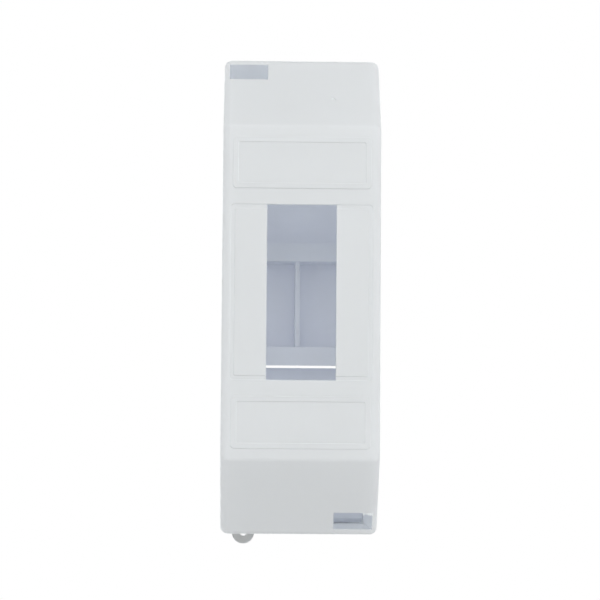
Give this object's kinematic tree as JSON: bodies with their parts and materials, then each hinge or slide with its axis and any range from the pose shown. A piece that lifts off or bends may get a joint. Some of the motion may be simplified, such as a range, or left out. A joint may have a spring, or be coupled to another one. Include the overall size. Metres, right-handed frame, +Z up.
{
  "type": "breaker box",
  "caption": "Surface-mounting moulded plastic breaker box with sloped ends, a module window with tear-out strips, a moulded rail and a clip-on cover.",
  "frame": {"origin": "centre of the flat back face that lies against the wall", "axes": "+Z up the wall, +X to the right seen from the front, +Y into the wall, so the front looks along -Y"},
  "size_m": [0.0416, 0.0602, 0.132],
  "materials": {
    "base_plastic": "fine moulded satin, white",
    "cover_plastic": "fine moulded satin, white"
  },
  "bodies": {
    "base": {"base": "base_plastic"},
    "cover": {"cover": "cover_plastic"}
  },
  "joints": [
    {"name": "cover_pull_off", "type": "slide", "parent": "base", "child": "cover", "axis": [0, -1, 0], "range_m": [0, 0.072]}
  ]
}
